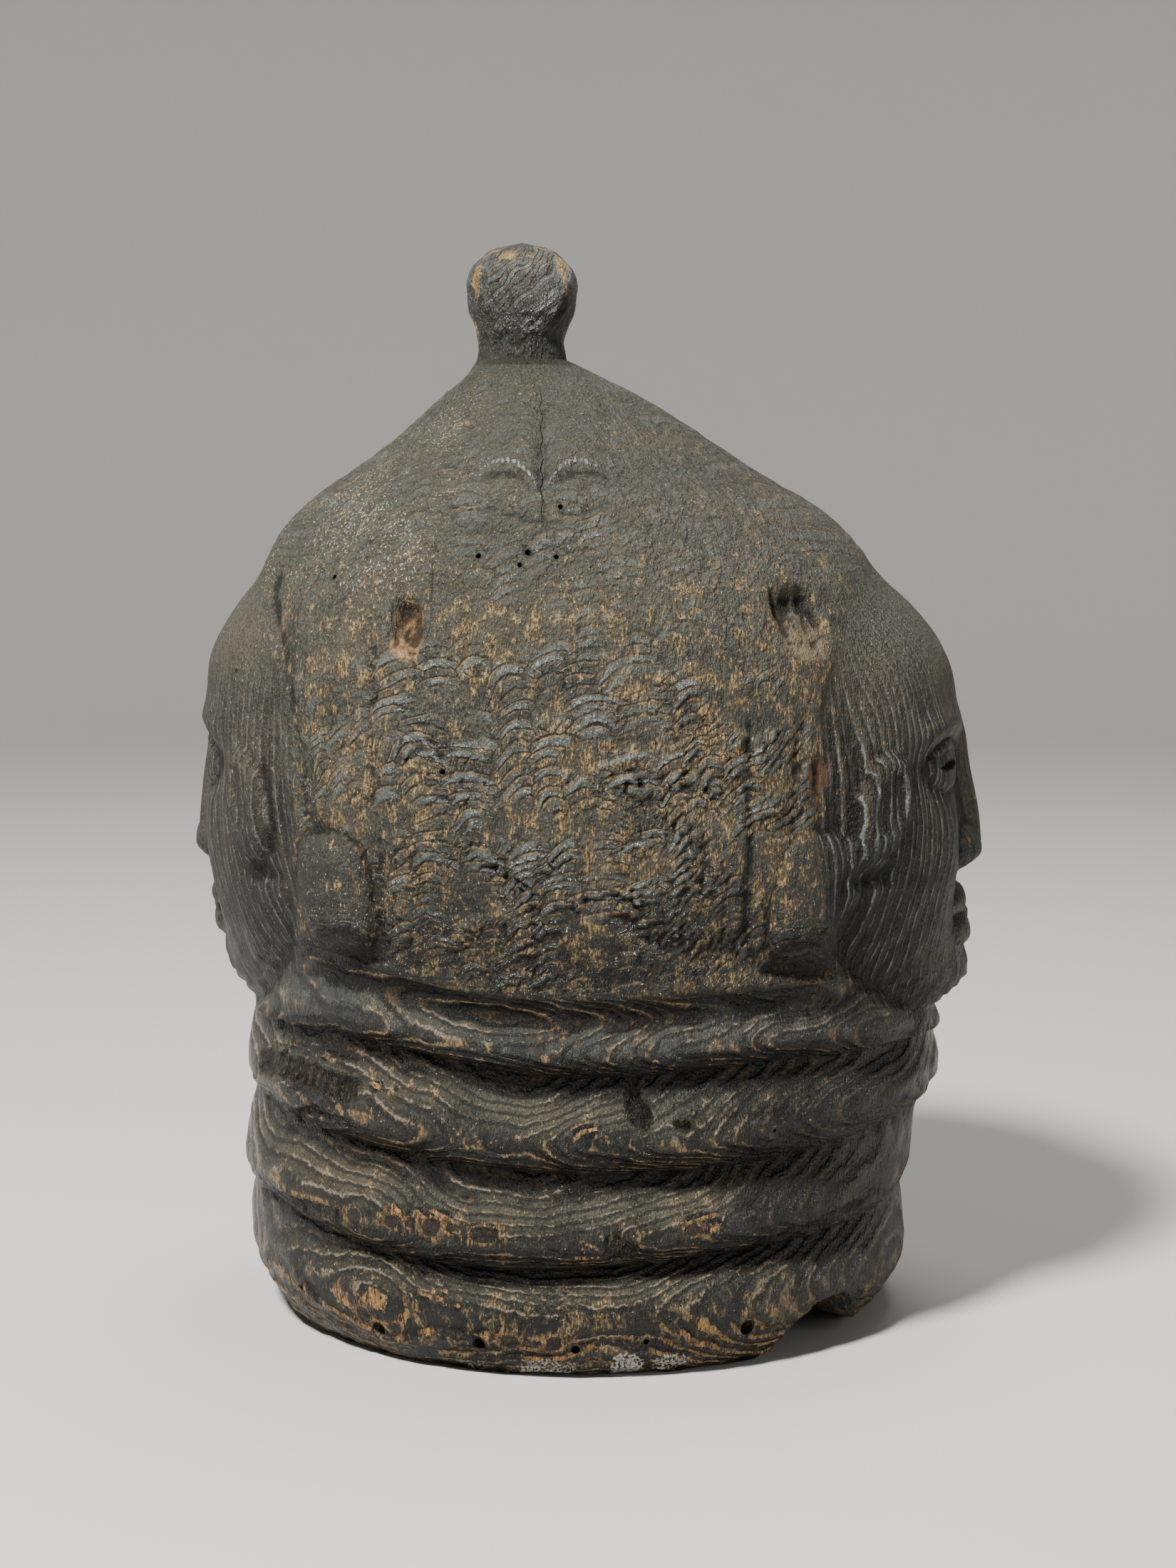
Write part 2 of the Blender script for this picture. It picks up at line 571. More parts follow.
def outerSurface():
    height = outerHeights()
    angle = np.broadcast_to(angles, height.shape)
    bare = fromPolar(trunkRadius(angle, height), angle, height)
    ringed = fromPolar(trunkRadius(angle, height) + ringRelief(angle, bare), angle, height)
    normals = surfaceNormals(bare)
    inside = np.maximum(insideFace(bare[..., 1], height), -1) * face["halfWidth"]
    hairy = ease(-1, -8, inside) * ease(0, 3, height - lines[4]) * ease(344, 334, height)
    rows = carvedRows(angle, height, bare)
    relief = hairRelief(angle, height, bare, rows, hairy)
    relief += pitRelief(angle, height, bare) + crestRelief(height, bare)
    onNeck = ease(1, -2, height - lines[4])
    relief += onNeck * (0.8 * rough(bare, (26, 26, 12), 8) + 0.35 * rough(bare, (8, 8, 5), 9))
    broken = brokenLayers(angle, height, bare) * onNeck
    relief -= broken * (1.2 + 0.7 * rough(bare, (1.6, 1.6, 9), 52))
    relief += ease(346, 352, height) * (0.9 * rough(bare, 9, 10) + 0.3 * rough(bare, 3.5, 11) - 0.7)
    coarse = seatFaces(ringed, bare, height)[0]
    places, onFace = seatFaces(ringed + normals * relief[..., None], bare, height)
    # where a face grows out of the head the join is a soft hollow
    soften = 0.9 * ridge(inside / face["halfWidth"], 0.085) * ease(150, 172, height)
    places += (neighbourMean(coarse, 60) - coarse) * soften[..., None]
    body = coilRelief(angle, height) * ease(-2, 3, height - lines[4]) + earRelief(angle, height)
    outward = normals.copy()
    outward[..., 2] = 0
    outward /= np.maximum(np.linalg.norm(outward, axis=-1, keepdims=True), 1e-6)
    places += outward * (body * ease(340, 320, height))[..., None]
    smooth = surfaceNormals(neighbourMean(places, 2))
    facing = surfaceNormals(neighbourMean(places, 14))[..., 2]
    growth, grain = ringDistance(places), faceDistance(places)
    onRings = onNeck * (0.6 + 0.7 * ease(0, -0.4, facing) - 0.3 * ease(0.12, 0.5, facing))
    onRings += (1 - onNeck) * (1 - onFace) * blend(0.3, 0.05, ease(245, 275, height))
    grained = onFace * np.where(bare[..., 0] > 0, 1, 0.5) * blend(1, 0.3, ease(205, 240, height))
    grained *= blend(0.3, 1, ease(22, 50, np.abs(bare[..., 1])))
    step = terraces(growth, rings["width"]) * onRings + 1.3 * terraces(grain, rings["faceWidth"]) * grained
    places += smooth * step[..., None]
    # the rim is rounded and ragged
    foot = ease(4, 0, height)
    places -= outward * (foot * (1.6 + 0.9 * rough(bare, 7, 13)))[..., None]
    places = keepInside(places)
    places[..., 2] = np.maximum(places[..., 2], 0)
    away, arc, window = crestPlan(height, bare)
    onCoilOrLobe = np.maximum(ease(0, 2, coilRelief(angle, height)), window * ease(298, 304, height))
    fields = {
        "facing": facing, "ringDistance": growth, "faceDistance": grain, "broken": broken,
        "faceGrain": grained, "hairy": hairy, "calm": np.maximum(onFace, onCoilOrLobe),
        "scaleAcross": rows[0], "scaleCount": rows[1], "scaleArch": rows[2],
        "cutDepth": rows[3] * np.maximum(hairy, ease(345, 350, height)),
        "beads": window, "beadAlong": away, "beadUp": height - arc,
    }
    return places, height, angle, onFace, fields


def hollowSurface():
    rows = []
    for height in shell["hollowHeights"]:
        up = max(0, height - shell["springing"]) / (shell["roof"] - shell["springing"])
        wide = trunkRadius(angles[0], min(height, shell["widest"])) - shell["wall"]
        radius = wide * math.sqrt(1 - up * up)
        rows.append(fromPolar(radius, angles[0], height) * (1, 1, 0) + (0, 0, height))
        rows[-1][:, 0] -= section(height)[0]
    rim = trunkRadius(angles[0], 0) - shell["rimWidth"]
    for inset, height in ((0, 1.2), (1.2, 0), (5, 0)):
        rows.append(fromPolar(rim + inset, angles[0], height))
    return np.array(rows)


def spinShell(rowCount, columnCount):
    bm = bmesh.new()
    chain = [bm.verts.new((0 if row in (0, rowCount - 1) else 1, 0, row)) for row in range(rowCount)]
    links = [bm.edges.new(pair) for pair in zip(chain, chain[1:])]
    bmesh.ops.spin(bm, geom=chain + links, cent=(0, 0, 0), axis=(0, 0, 1), angle=2 * math.pi,
                   steps=columnCount, use_merge=True)
    bmesh.ops.remove_doubles(bm, verts=bm.verts, dist=1e-4)
    mesh = bpy.data.meshes.new("helmetMask")
    bm.to_mesh(mesh)
    bm.free()
    return mesh


def neighbourMean(field, times):
    for _ in range(times):
        sides = np.roll(field, 1, 1) + np.roll(field, -1, 1)
        ends = np.concatenate([field[:1], field[:-1]]) + np.concatenate([field[1:], field[-1:]])
        field = (sides + ends) / 4
    return field


def proudness(places, times):
    # how far the surface stands out from its own smoothed shape
    normals = surfaceNormals(places)
    return ((places - neighbourMean(places, times)) * normals).sum(-1)


wear = {
    "bare": [
        (-127, 16, 26, 11, 1), (-142, 14, 12, 13, 0.7), (-113, 23, 16, 7, 0.7), (-60, 9, 24, 12, 0.85),
        (-90, 12, 34, 12, 0.45), (-160, 16, 26, 12, 0.4), (-20, 14, 26, 12, 0.4), (60, 10, 70, 9, 0.45),
        (-48, 7, 16, 8, 0.7), (-140, 373, 4.5, 8, 0.75), (-115, 383, 14, 3, 0.6),
        (-60, 384, 12, 3, 0.55), (-28, 376, 5, 8, 0.6), (-165, 357, 4, 8, 0.5), (-88, 28, 12, 9, 0.35),
        (-116, 53, 22, 5, 0.8), (-62, 53, 9, 5, 0.9), (-84, 45, 5, 5, 0.7), (-82, 85, 7, 5, 0.6),
        (-90, 118, 12, 6, 0.3), (-122, 97, 7, 4, 0.5), (-103, 292.5, 8, 1.5, 0.6), (-139, 103, 30, 1.6, 0.5),
        (-138, 87.5, 16, 1.6, 0.5), (-143, 54, 26, 1.6, 0.5),
    ],  # angle, height, half width, half height, strength
    "crust": [(-75, 4.5, 6, 5, 1), (-67, 5, 8, 4, 0.6), (-90, 4, 14, 4, 0.45), (-106, 3, 14, 3, 0.3)],
    "ovals": [
        (-119.4, 51.6, 4.2, 3.8), (-115.7, 52.2, 2.8, 2.6), (-111.8, 51.6, 4, 3.2), (-127.6, 51, 3.4, 3.4),
        (-101.2, 51, 7, 3.4), (-127, 16, 3.4, 4.2), (-120, 13, 2.6, 2.6), (-97, 14, 4.6, 3.4),
        (-89, 13.5, 3, 3.6), (-64, 52, 3, 2.2),
    ],
    # the golden ground round the black ovals: how much wider, how much taller, how strong
    "ground": (2.1, 1.7, 0.5),
    "soot": [
        (-128.5, 146, 18, 9, 1), (-43.5, 143, 18, 8, 1), (-90, 140, 60, 8, 0.5), (-147, 166, 5, 4, 0.8),
        (-22, 164, 14, 4, 0.7), (-32, 78, 60, 60, 0.95), (-36, 22, 40, 24, 0.6), (-66, 157, 24, 16, 0.5),
        (-92, 149, 34, 8, 0.4),
    ],
    "sootStrength": 0.8,
    "rot": [(-113.8, 252, 6, 10, 1), (-44, 250.5, 10, 8.5, 0.9), (-43.5, 203, 6, 9, 0.7)],
}


def painted(spots, angle, height, places):
    field = np.zeros_like(height)
    edge = 0.4 * rough(places, 7, 14)
    for spotAngle, spotHeight, half, tall, strength in spots:
        across, up = localMap(angle, height, spotAngle, spotHeight)
        size = np.sqrt((across / half) ** 2 + (up / tall) ** 2) + edge
        field = np.maximum(field, strength * ease(1.35, 0.4, size))
    return field


def paintFields(outer, height, angle, onFace):
    # what the finish reads at each point
    small, large = proudness(outer, 3), proudness(outer, 30)
    deep = np.clip(-large / 2.4, 0, 0.7) * ease(305, 270, height)
    soot = wear["sootStrength"] * painted(wear["soot"], -np.abs(angle), height, outer)
    wider, taller, strength = wear["ground"]
    ovals = [(*spot, 1) for spot in wear["ovals"]]
    ground = [(*spot[:2], wider * spot[2], taller * spot[3], strength) for spot in wear["ovals"]]
    spots = {
        "bareWood": wear["bare"], "crust": wear["crust"], "rot": wear["rot"],
        "ovals": ovals, "ground": ground,
    }
    paint = {name: painted(places, angle, height, outer) for name, places in spots.items()}
    paint["ovals"] = np.maximum(paint["ovals"], paint.pop("ground"))
    paint["hollows"] = deep + np.clip(-small / 0.4, 0, 0.6) + soot
    paint["neck"] = ease(3, -3, height - lines[4]) * (1 - onFace)
    paint["inner"] = np.zeros_like(small)
    return paint


def buildMask():
    outer, height, angle, onFace, fields = outerSurface()
    hollow = hollowSurface()
    roof = np.broadcast_to([0, 0, shell["roof"]], (1, hollow.shape[1], 3))
    knobTop = np.broadcast_to([trunk["knobX"], 0, trunk["knob"][-1][0]], (1, hollow.shape[1], 3))
    grid = np.concatenate([roof, hollow, outer[:-1], knobTop])
    mesh = spinShell(grid.shape[0], grid.shape[1])
    guide = np.empty(len(mesh.vertices) * 3)
    mesh.vertices.foreach_get("co", guide)
    guide = guide.reshape(-1, 3)
    row = np.rint(guide[:, 2]).astype(int)
    turn = np.arctan2(guide[:, 1], guide[:, 0]) / (2 * np.pi) * grid.shape[1]
    column = np.rint(turn).astype(int) % grid.shape[1]
    shift = (trunk["originX"] * millimetre, 0, 0)
    mesh.vertices.foreach_set("co", (grid[row, column] * millimetre + shift).ravel())
    paint = paintFields(outer, height, angle, onFace)
    fields.update((name, np.clip(field, 0, 1)) for name, field in paint.items())
    lead = grid.shape[0] - height.shape[0]
    for name, field in fields.items():
        whole = np.full(grid.shape[:2], 1.0 if name == "inner" else 0.0)
        whole[lead:] = field
        layer = mesh.attributes.new(name, "FLOAT", "POINT")
        layer.data.foreach_set("value", whole[row, column].ravel())
    print("mask shell:", len(mesh.vertices), "points")
    return mesh


# holes: cutters for the lacing, the eyes and the broken rim

holes = {
    "lacing": [
        (-143, 19, 1.6), (-124, 11.5, 2.7), (-103, 12, 2.2), (-85, 11.2, 1.6), (-72, 13.6, 1.1),
        (-53, 15.4, 2.7), (47, 13, 2), (71, 12, 2), (95, 12.5, 2), (119, 12, 2), (142, 14, 2),
    ],  # angle, height, radius
    "worm": [
        (-82.8, 293, 0.8), (-91.4, 278.2, 1), (-86.3, 276.8, 0.8), (-100.8, 277, 0.9), (-93.3, 274.2, 0.8),
        (-130, 269.4, 0.9), (-107, 206.8, 1), (-74.5, 203.4, 0.9), (-63.8, 201.6, 0.7), (-49.5, 84, 0.7),
        (-152, 236, 0.8), (61, 190, 0.9), (102, 231, 0.8), (88, 118, 0.9), (121, 160, 0.8),
    ],
    "drill": 60, "drillInset": 12, "wormDepth": 14,
    # the slits between the lids: half width, half height, depth, distance out
    "slit": (0.36 * eyeWidth, 1.6, 80, 120),
    # a small notch in the rim: angle, height, half width, half height, depth, distance out
    "notch": (-79.5, 0.6, 2.2, 2.2, 40, 96),
    "gapAngle": -35, "gapOut": 80, "gapDepth": 60,
    "gap": [
        (-23, -6), (-21.5, 0), (-20, 4), (-17, 10.5), (-12, 15.5), (-6, 19), (0, 20.4), (6, 20.6), (10.5, 19),
        (13, 16), (15, 12), (18.5, 8.5), (22, 6), (27, 4.6), (31, 3.4), (38, 0), (46, -6),
    ],
}


def onWall(verts, angle, height, distance):
    turn = Euler((0, 0, math.radians(angle))).to_matrix()
    x = float(section(height)[0]) + trunk["originX"]
    for vert in verts:
        spot = turn @ (vert.co + Vector((distance, 0, 0)))
        vert.co = (spot + Vector((x, 0, height))) * millimetre


def addDrill(bm, angle, height, radiusAcross, radiusUp, length, distance, sideways=0):
    made = bmesh.ops.create_cone(bm, cap_ends=True, segments=20, radius1=1, radius2=1, depth=length)
    verts = made["verts"]
    for vert in verts:
        x, y, z = vert.co
        vert.co = (z, y * radiusAcross + sideways, x * radiusUp)
    onWall(verts, angle, height, distance)


def addGap(bm):
    ring = [bm.verts.new((0, across, up)) for across, up in holes["gap"]]
    floor = bm.faces.new(ring)
    pushed = bmesh.ops.extrude_face_region(bm, geom=[floor])
    far = [item for item in pushed["geom"] if isinstance(item, bmesh.types.BMVert)]
    bmesh.ops.translate(bm, verts=far, vec=(holes["gapDepth"], 0, 0))
    onWall(ring + far, holes["gapAngle"], 0, holes["gapOut"])


def addCrack(bm):
    # a thin blade along the crest's spine, a little wider at its middle
    rows = []
    thin, wide = crest["crackHalf"]
    for height in np.linspace(*crest["crackEnds"], 24):
        x = float(spineX(height)) + 0.5 * math.sin(0.9 * height) + trunk["originX"]
        half = thin + wide * math.sin(math.pi * (height - 286) / 48) * (1 + 0.5 * math.sin(1.7 * height))
        turn = math.atan2(-80, x + trunk["knobX"] * 0.3)
        y = -float(trunkRadius(math.degrees(turn), height)) * abs(math.sin(turn))
        rows.append([bm.verts.new((side, y + deep, height)) for side, deep in
                     ((x - half, -8), (x + half, -8), (x + 0.3 * half, 1.6), (x - 0.3 * half, 1.6))])
    for row in rows:
        for vert in row:
            vert.co *= millimetre
    sides = [bm.edges.new((row[i], row[(i + 1) % 4])) for row in rows for i in range(4)]
    bmesh.ops.contextual_create(bm, geom=sides[:4])
    bmesh.ops.contextual_create(bm, geom=sides[-4:])
    for i in range(len(rows) - 1):
        bmesh.ops.bridge_loops(bm, edges=sides[4 * i:4 * i + 8])


def cutHoles(mask):
    bm = bmesh.new()
    for angle, height, radius in holes["lacing"]:
        distance = float(trunkRadius(angle, height)) - holes["drillInset"]
        addDrill(bm, angle, height, radius, radius, holes["drill"], distance)
    for angle, height, radius in holes["worm"]:
        addDrill(bm, angle, height, radius, radius, holes["wormDepth"], float(trunkRadius(angle, height)))
    for end in (0, 180):
        for side in (-1, 1):
            addDrill(bm, end, eyeLine - 1, *holes["slit"], side * eyeWidth)
    addDrill(bm, *holes["notch"])
    addGap(bm)
    addCrack(bm)
    bmesh.ops.recalc_face_normals(bm, faces=bm.faces)
    cutter = bpy.data.objects.new("holeCutter", bpy.data.meshes.new("holeCutter"))
    bm.to_mesh(cutter.data)
    bm.free()
    bpy.context.collection.objects.link(cutter)
    cut = mask.modifiers.new("holes", "BOOLEAN")
    cut.operation, cut.solver, cut.object = "DIFFERENCE", "EXACT", cutter
    made = bpy.data.meshes.new_from_object(mask.evaluated_get(bpy.context.evaluated_depsgraph_get()))
    mask.modifiers.clear()
    mask.data = made
    bpy.data.objects.remove(cutter)
    print("holes cut:", len(made.vertices), "points")


def shadeSmooth(mesh, angle):
    bm = bmesh.new()
    bm.from_mesh(mesh)
    bmesh.ops.remove_doubles(bm, verts=bm.verts, dist=1e-6)
    bmesh.ops.recalc_face_normals(bm, faces=bm.faces)
    for one in bm.faces:
        one.smooth = True
    for edge in bm.edges:
        edge.smooth = not (edge.is_manifold and edge.calc_face_angle(0) > math.radians(angle))
    print("open edges:", sum(not edge.is_manifold for edge in bm.edges), "faces:", len(bm.faces))
    bm.to_mesh(mesh)
    bm.free()


# material

def addNode(tree, kind, **values):
    made = tree.nodes.new(kind)
    for name, value in values.items():
        setattr(made, name, value)
    return made


def feed(tree, socket, value):
    if isinstance(value, bpy.types.NodeSocket):
        tree.links.new(value, socket)
    else:
        socket.default_value = value


def mathNode(tree, operation, *values):
    made = addNode(tree, "ShaderNodeMath", operation=operation)
    for socket, value in zip(made.inputs, values):
        feed(tree, socket, value)
    return made.outputs[0]


def rampNode(tree, value, low, high, start=0.0, end=1.0):
    made = addNode(tree, "ShaderNodeMapRange", interpolation_type="SMOOTHSTEP")
    for socket, item in zip(made.inputs, (value, low, high, start, end)):
        feed(tree, socket, item)
    return made.outputs[0]


def sumsOn(tree):
    # short forms for one node tree: any sum, a soft ramp, a product and a total of several values
    def times(*values):
        return reduce(partial(mathNode, tree, "MULTIPLY"), values)

    def plus(*values):
        return reduce(partial(mathNode, tree, "ADD"), values)

    return partial(mathNode, tree), partial(rampNode, tree), times, plus


def mixColour(tree, share, first, second, mode="MIX"):
    made = addNode(tree, "ShaderNodeMix", data_type="RGBA", blend_type=mode)
    for name, item in (("Factor_Float", share), ("A_Color", first), ("B_Color", second)):
        feed(tree, next(s for s in made.inputs if s.identifier == name), item)
    return next(s for s in made.outputs if s.identifier == "Result_Color")


def grainNoise(tree, place, size, stretch=(1, 1, 1), detail=2.0, low=None, high=None):
    # noise whose lumps are the given size in millimetres; low and high spread it over 0 to 1
    spot = addNode(tree, "ShaderNodeMapping")
    feed(tree, spot.inputs["Vector"], place)
    spot.inputs["Scale"].default_value = [1000 / (size * part) for part in stretch]
    made = addNode(tree, "ShaderNodeTexNoise")
    feed(tree, made.inputs["Vector"], spot.outputs[0])
    made.inputs["Scale"].default_value = 1.0
    made.inputs["Detail"].default_value = detail
    made.inputs["Roughness"].default_value = 0.6
    return made.outputs[0] if low is None else rampNode(tree, made.outputs[0], low, high)


def newGroup(name, inputs, outputs):
    # a node group, its input sockets, and a function that feeds its outputs
    group = bpy.data.node_groups.new(name, "ShaderNodeTree")
    for label in inputs:
        kind = "NodeSocketVector" if label == "Place" else "NodeSocketFloat"
        group.interface.new_socket(label, in_out="INPUT", socket_type=kind)
    for label in outputs:
        group.interface.new_socket(label, in_out="OUTPUT", socket_type="NodeSocketFloat")
    inward, outward = addNode(group, "NodeGroupInput"), addNode(group, "NodeGroupOutput")

    def give(**values):
        for label, value in values.items():
            feed(group, outward.inputs[label], value)

    return group, inward.outputs, give


def woodRings():
    # growth rings: the hard ridge of each, the dark line beside it, and the thin light edge of the ridge
    group, inward, give = newGroup("woodRings", ("Place", "Distance", "Width"), ("Ridge", "Line", "Edge"))
    calc, ramp, times = sumsOn(group)[:3]
    wobble = grainNoise(group, inward["Place"], 2.6, (1, 1, 1.6), 4.0)
    away = calc("MULTIPLY_ADD", wobble, 1.1, inward["Distance"])
    share = calc("FRACT", calc("DIVIDE", away, inward["Width"]))
    give(Ridge=times(ramp(share, 0.3, 0.6), ramp(share, 1, 0.93)),
         Line=times(ramp(share, 0.0, 0.05), ramp(share, 0.42, 0.15)),
         Edge=times(ramp(share, 0.7, 0.85), ramp(share, 1, 0.95)))
    return group


def scaleSide(sums, across, count, arch, offset):
    # the same columns of scales as scaleLane works out: height, share up the scale, luck and room to the side
    calc, _, times, plus = sums

    def luckOf(first, second):
        turn = calc("MULTIPLY_ADD", first, dice["first"], times(second, dice["second"]))
        return calc("FRACT", times(calc("ABSOLUTE", calc("SINE", turn)), dice["spread"]))

    lane = calc("MULTIPLY_ADD", across, 0.5, offset / 2)
    column = calc("MULTIPLY_ADD", calc("FLOOR", lane), 2.0, -float(offset))
    x = calc("MULTIPLY_ADD", calc("FRACT", lane), 2.0, -1.0)
    climb = calc("MULTIPLY_ADD", luckOf(column, 0.0), dice["lift"], count)
    climb = calc("MULTIPLY_ADD", times(x, x), arch, climb)
    lean = calc("MULTIPLY_ADD", luckOf(column, 1.0), 2.0, -1.0 - hair["lean"])
    climb = calc("MULTIPLY_ADD", lean, x, climb)
    share, row = calc("FRACT", climb), calc("FLOOR", climb)
    luck, other = luckOf(column, row), luckOf(row, plus(column, 0.5))
    drop = calc("SUBTRACT", 1.0, calc("POWER", share, scaleShape["fall"]))
    slope = times(calc("MULTIPLY_ADD", luck, scaleShape["luck"], scaleShape["low"]), drop)
    aside = calc("ABSOLUTE", calc("MULTIPLY_ADD", calc("SUBTRACT", other, 0.5), scaleShape["sway"], x))
    room = calc("SUBTRACT", calc("MULTIPLY_ADD", luck, scaleShape["wider"], scaleShape["half"]), aside)
    room = calc("SUBTRACT", room, calc("LESS_THAN", other, scaleShape["lost"]))
    return slope, share, luck, room


def carvedScales():
    # scales: how high they stand, their smooth lips, the black lines under the lips and the light edges below
    group, inward, give = newGroup(
        "carvedScales", ("Place", "Across", "Count", "Arch"), ("Height", "Lip", "Line", "Edge"))
    sums = sumsOn(group)
    calc, ramp, times = sums[:3]
    wobble = grainNoise(group, inward["Place"], 2.2, (1, 1, 0.8), 4.0)
    count = calc("MULTIPLY_ADD", wobble, 0.9, inward["Count"])
    across = calc("MULTIPLY_ADD", wobble, 0.35, inward["Across"])
    over, under = (scaleSide(sums, across, count, inward["Arch"], offset) for offset in (0, 1))
    top = calc("GREATER_THAN", over[3], 0.0)
    height, share, luck, room = (
        calc("MULTIPLY_ADD", top, calc("SUBTRACT", a, b), b) for a, b in zip(over, under))
    crease = ramp(calc("ABSOLUTE", over[3]), 0.06, 0.01)
    lens = calc("DIVIDE", share, ramp(room, -0.05, 0.4, 0.15, 1.0))
    give(Height=height,
         Lip=times(ramp(lens, 0.8, 0.5), ramp(luck, 0.15, 0.7)),
         Line=calc("MAXIMUM", ramp(share, 0.76, 0.86), times(crease, 0.8)),
         Edge=times(ramp(share, 0.58, 0.68), ramp(share, 0.84, 0.76)))
    return group


def settledDust():
    # dust lies where the surface looks up, and soot stays where it looks down
    group, inward, give = newGroup("settledDust", ("Place", "Facing"), ("Dust", "Top", "Under"))
    calc, ramp = sumsOn(group)[:2]
    facing = inward["Facing"]
    patch = grainNoise(group, inward["Place"], 14, (1, 1, 1), 4.0)
    lies = calc("MULTIPLY_ADD", patch, 0.8, calc("SUBTRACT", facing, 0.4))
    give(Dust=ramp(lies, 0.0, 0.6), Top=ramp(facing, 0.1, 0.5), Under=ramp(facing, 0.05, -0.4))
    return group


finish = {
    "black": (0.005, 0.005, 0.0045, 1), "charcoal": (0.019, 0.021, 0.0205, 1),
    "slate": (0.055, 0.060, 0.056, 1), "brown": (0.064, 0.046, 0.026, 1), "tan": (0.32, 0.195, 0.078, 1),
    "orange": (0.25, 0.115, 0.032, 1), "gold": (0.33, 0.23, 0.10, 1), "sheen": (0.125, 0.138, 0.130, 1),
    "bead": (0.30, 0.33, 0.33, 1), "dust": (0.088, 0.081, 0.057, 1), "pale": (0.52, 0.48, 0.37, 1),
    "rust": (0.16, 0.075, 0.04, 1), "floor": (0.13, 0.105, 0.066, 1), "crust": (0.42, 0.40, 0.36, 1),
    "inside": (0.05, 0.034, 0.022, 1), "shade": (0.2, 0.19, 0.18, 1),
}
grains = {
    # size in millimetres, stretch, detail, and the range that is spread over 0 to 1
    "bristle": (0.55, (1, 1, 5), 2.0, 0.40, 0.62), "fibre": (1.1, (1, 1, 7), 3.0, 0.38, 0.64),
    "grit": (0.9, (1, 1, 1.6), 3.0, 0.36, 0.66), "lump": (3.2, (1, 1, 1.5), 3.0, 0.36, 0.66),
    "mottle": (7, (1, 1, 2), 4.0, 0.36, 0.64), "patch": (26, (1, 1, 1.5), 4.0, 0.38, 0.62),
    "cluster": (4.2, (1, 1, 1.4), 6.0), "speck": (0.8, (1, 1, 1.5), 2.0),
}
zones = {
    # where each zone of the mask begins and is full: heights in metres, then places along x
    "foot": (0.034, 0.02), "aboveFoot": (0.028, 0.05), "topRing": (0.1, 0.116), "upper": (0.115, 0.225),
    "lowHair": (0.192, 0.152), "coil": (0.2, 0.19), "highHair": (0.2, 0.25), "socket": (0.22, 0.235),
    "crown": (0.255, 0.275), "knob": (0.345, 0.352),
    "leftEdge": (-0.095, -0.12), "leftNeck": (-0.035, -0.09), "leftCrown": (-0.01, -0.06),
    "rightHalf": (0.0, 0.02), "rightHair": (0.02, 0.06),
}
paintNames = ("hollows", "ovals", "bareWood", "crust", "rot", "neck", "inner", "facing", "ringDistance",
              "faceDistance", "broken", "faceGrain", "scaleAcross", "scaleCount", "scaleArch", "cutDepth",
              "beads", "beadAlong", "beadUp", "hairy", "calm")


